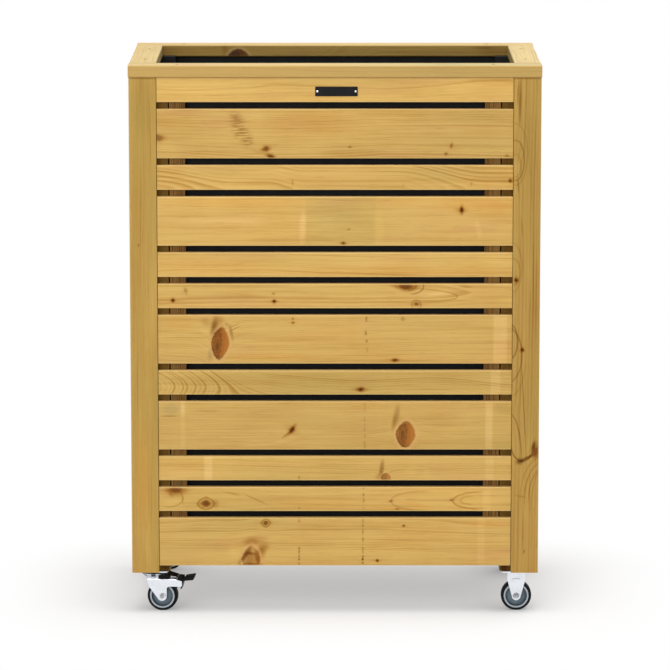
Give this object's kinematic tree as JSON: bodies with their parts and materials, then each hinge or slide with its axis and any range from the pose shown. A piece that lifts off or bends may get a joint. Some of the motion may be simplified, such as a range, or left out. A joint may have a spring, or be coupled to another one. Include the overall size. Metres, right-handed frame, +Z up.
{
  "type": "rolling planter",
  "caption": "Tall slatted timber planter box with a black liner, on swivelling braked casters at one end and rigid casters at the other.",
  "frame": {"origin": "on the floor under the middle of the box", "axes": "+X to the right seen from the front, -Y towards the viewer in front, +Z up"},
  "size_m": [0.8, 0.44, 1.0845],
  "materials": {
    "slat_timber": "planed softwood, light honey impregnation",
    "post_timber": "planed softwood, light honey impregnation",
    "rim_timber": "planed softwood, light honey impregnation",
    "inner_timber": "sawn softwood",
    "liner": "semi-matt black",
    "label_plate": "satin black, blank",
    "label_pins": "bright",
    "screws": "zinc plated",
    "caster_zinc": "bright zinc plated",
    "bearing_steel": "polished",
    "hub": "moulded blue-grey",
    "tyre": "smooth black rubber",
    "brake_plastic": "moulded black"
  },
  "bodies": {
    "planter": {"post_front_left": "post_timber", "post_front_right": "post_timber", "post_rear_left": "post_timber", "post_rear_right": "post_timber", "rim_front": "rim_timber", "rim_rear": "rim_timber", "rim_left": "rim_timber", "rim_right": "rim_timber", "front_slat_01": "slat_timber", "front_slat_02": "slat_timber", "front_slat_03": "slat_timber", "front_slat_04": "slat_timber", "front_slat_05": "slat_timber", "front_slat_06": "slat_timber", "front_slat_07": "slat_timber", "front_slat_08": "slat_timber", "front_slat_09": "slat_timber", "front_slat_10": "slat_timber", "front_slat_11": "slat_timber", "front_slat_12": "slat_timber", "rear_slats": "slat_timber", "left_slats": "slat_timber", "right_slats": "slat_timber", "front_battens": "inner_timber", "rear_battens": "inner_timber", "left_battens": "inner_timber", "right_battens": "inner_timber", "floor_bearers": "inner_timber", "floor_planks": "inner_timber", "liner": "liner", "label_plate": "label_plate", "label_pins": "label_pins", "rim_screws": "screws", "caster_screws": "screws", "front_left_plate": "caster_zinc", "front_left_kingpin": "caster_zinc", "rear_left_plate": "caster_zinc", "rear_left_kingpin": "caster_zinc", "front_right_bracket": "caster_zinc", "front_right_axle": "caster_zinc", "rear_right_bracket": "caster_zinc", "rear_right_axle": "caster_zinc"},
    "front_left_swivel": {"front_left_fork": "caster_zinc", "front_left_balls": "bearing_steel", "front_left_axle": "caster_zinc", "front_left_brake_housing": "brake_plastic"},
    "front_left_wheel": {"front_left_hub": "hub", "front_left_tyre": "tyre"},
    "front_left_brake": {"front_left_brake_pedal": "brake_plastic"},
    "rear_left_swivel": {"rear_left_fork": "caster_zinc", "rear_left_balls": "bearing_steel", "rear_left_axle": "caster_zinc", "rear_left_brake_housing": "brake_plastic"},
    "rear_left_wheel": {"rear_left_hub": "hub", "rear_left_tyre": "tyre"},
    "rear_left_brake": {"rear_left_brake_pedal": "brake_plastic"},
    "front_right_wheel": {"front_right_hub": "hub", "front_right_tyre": "tyre"},
    "rear_right_wheel": {"rear_right_hub": "hub", "rear_right_tyre": "tyre"}
  },
  "joints": [
    {"name": "front_left_turn", "type": "hinge", "parent": "planter", "child": "front_left_swivel", "pos_m": [-0.358, -0.178, 0.07], "axis": [0, 0, 1], "continuous": true},
    {"name": "front_left_roll", "type": "hinge", "parent": "front_left_swivel", "child": "front_left_wheel", "pos_m": [-0.34013, -0.18019, 0.03], "axis": [0.1219, 0.9925, 0], "continuous": true},
    {"name": "front_left_brake_tip", "type": "hinge", "parent": "front_left_swivel", "child": "front_left_brake", "pos_m": [-0.30738, -0.18421, 0.057], "axis": [0.1219, 0.9925, 0], "range_deg": [0, 18]},
    {"name": "rear_left_turn", "type": "hinge", "parent": "planter", "child": "rear_left_swivel", "pos_m": [-0.358, 0.178, 0.07], "axis": [0, 0, 1], "continuous": true},
    {"name": "rear_left_roll", "type": "hinge", "parent": "rear_left_swivel", "child": "rear_left_wheel", "pos_m": [-0.34088, 0.18356, 0.03], "axis": [-0.309, 0.9511, 0], "continuous": true},
    {"name": "rear_left_brake_tip", "type": "hinge", "parent": "rear_left_swivel", "child": "rear_left_brake", "pos_m": [-0.3095, 0.19376, 0.057], "axis": [-0.309, 0.9511, 0], "range_deg": [0, 18]},
    {"name": "front_right_roll", "type": "hinge", "parent": "planter", "child": "front_right_wheel", "pos_m": [0.358, -0.178, 0.03], "axis": [0, 1, 0], "continuous": true},
    {"name": "rear_right_roll", "type": "hinge", "parent": "planter", "child": "rear_right_wheel", "pos_m": [0.358, 0.178, 0.03], "axis": [0, 1, 0], "continuous": true}
  ]
}
